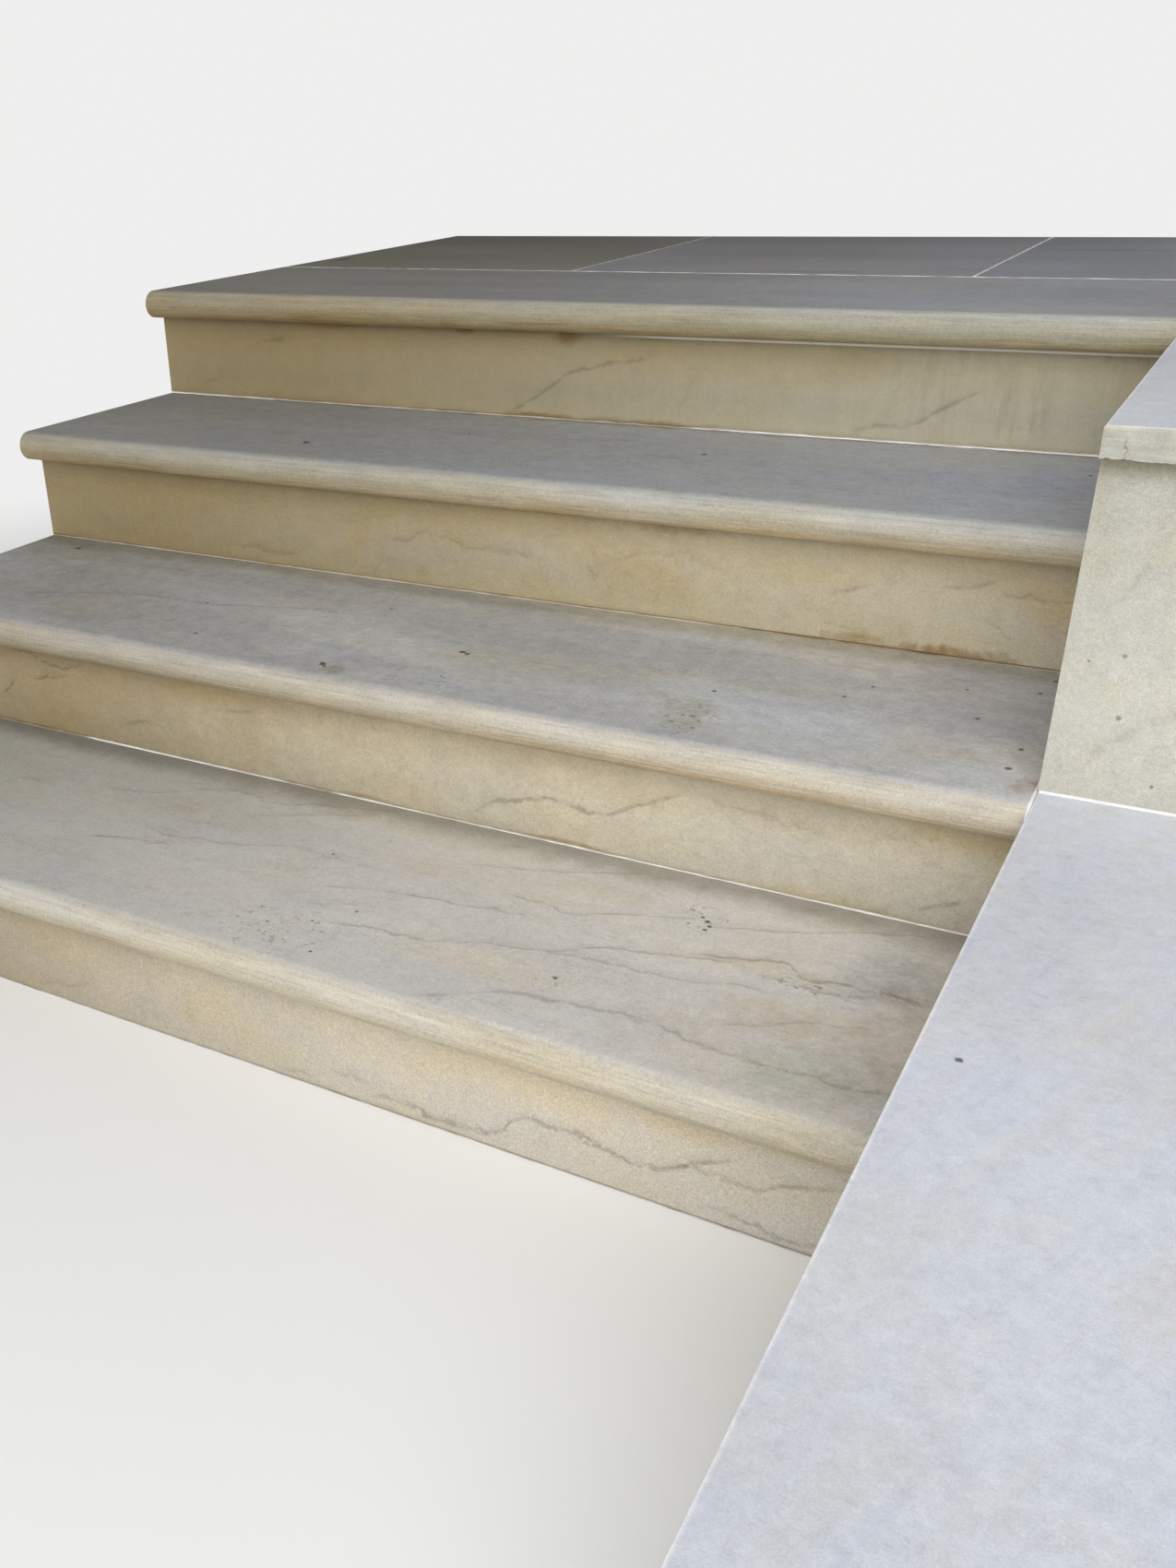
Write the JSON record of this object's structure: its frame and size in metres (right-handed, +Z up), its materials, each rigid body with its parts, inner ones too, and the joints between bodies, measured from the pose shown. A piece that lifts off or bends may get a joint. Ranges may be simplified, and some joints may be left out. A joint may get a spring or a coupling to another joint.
{
  "type": "outdoor stone steps",
  "caption": "Sandstone steps with half-round nosings rising to a paved landing, beside a stepped cheek wall with flat copings.",
  "frame": {"origin": "on the ground at the middle of the footprint", "axes": "+X to the right as one faces the steps, +Y from the foot of the steps back to the house line, +Z up"},
  "size_m": [1.78, 2.592, 0.6415],
  "materials": {
    "tread_stone": "sawn and honed sandstone, grey buff",
    "riser_stone": "sawn sandstone, warm buff",
    "landing_stone": "sawn sandstone paving, grey buff",
    "cladding_stone": "sawn sandstone, pale cream",
    "coping_stone": "sawn sandstone, pale blue grey",
    "pointing": "smooth white pointing mortar",
    "bedding_mortar": "cement mortar",
    "blockwork": "dense concrete blocks"
  },
  "bodies": {
    "root": {"tread_1": "tread_stone", "tread_2": "tread_stone", "tread_3": "tread_stone", "tread_4": "tread_stone", "riser_1": "riser_stone", "riser_2": "riser_stone", "riser_3": "riser_stone", "riser_4": "riser_stone", "landing_slab_left": "landing_stone", "landing_slab_middle": "landing_stone", "landing_slab_right": "landing_stone", "inner_cladding_lower": "cladding_stone", "inner_cladding_upper": "cladding_stone", "outer_cladding_lower": "cladding_stone", "outer_cladding_upper": "cladding_stone", "lower_wall_end_cladding": "cladding_stone", "upper_wall_front_cladding": "cladding_stone", "lower_coping": "coping_stone", "upper_coping_front": "coping_stone", "upper_coping_back": "coping_stone", "foot_joint_1": "pointing", "foot_joint_2": "pointing", "foot_joint_3": "pointing", "foot_joint_4": "pointing", "landing_joints": "pointing", "side_joint": "pointing", "inner_cladding_joints": "pointing", "outer_cladding_joints": "pointing", "upper_wall_foot_joint": "pointing", "upper_coping_joint": "pointing", "tread_bed_1": "bedding_mortar", "tread_bed_2": "bedding_mortar", "tread_bed_3": "bedding_mortar", "tread_bed_4": "bedding_mortar", "landing_bed": "bedding_mortar", "lower_coping_bed": "bedding_mortar", "upper_coping_bed": "bedding_mortar", "core_course_1": "blockwork", "core_course_2": "blockwork", "core_course_3": "blockwork", "core_course_4": "blockwork", "lower_wall_core": "blockwork", "upper_wall_core": "blockwork"}
  },
  "joints": []
}
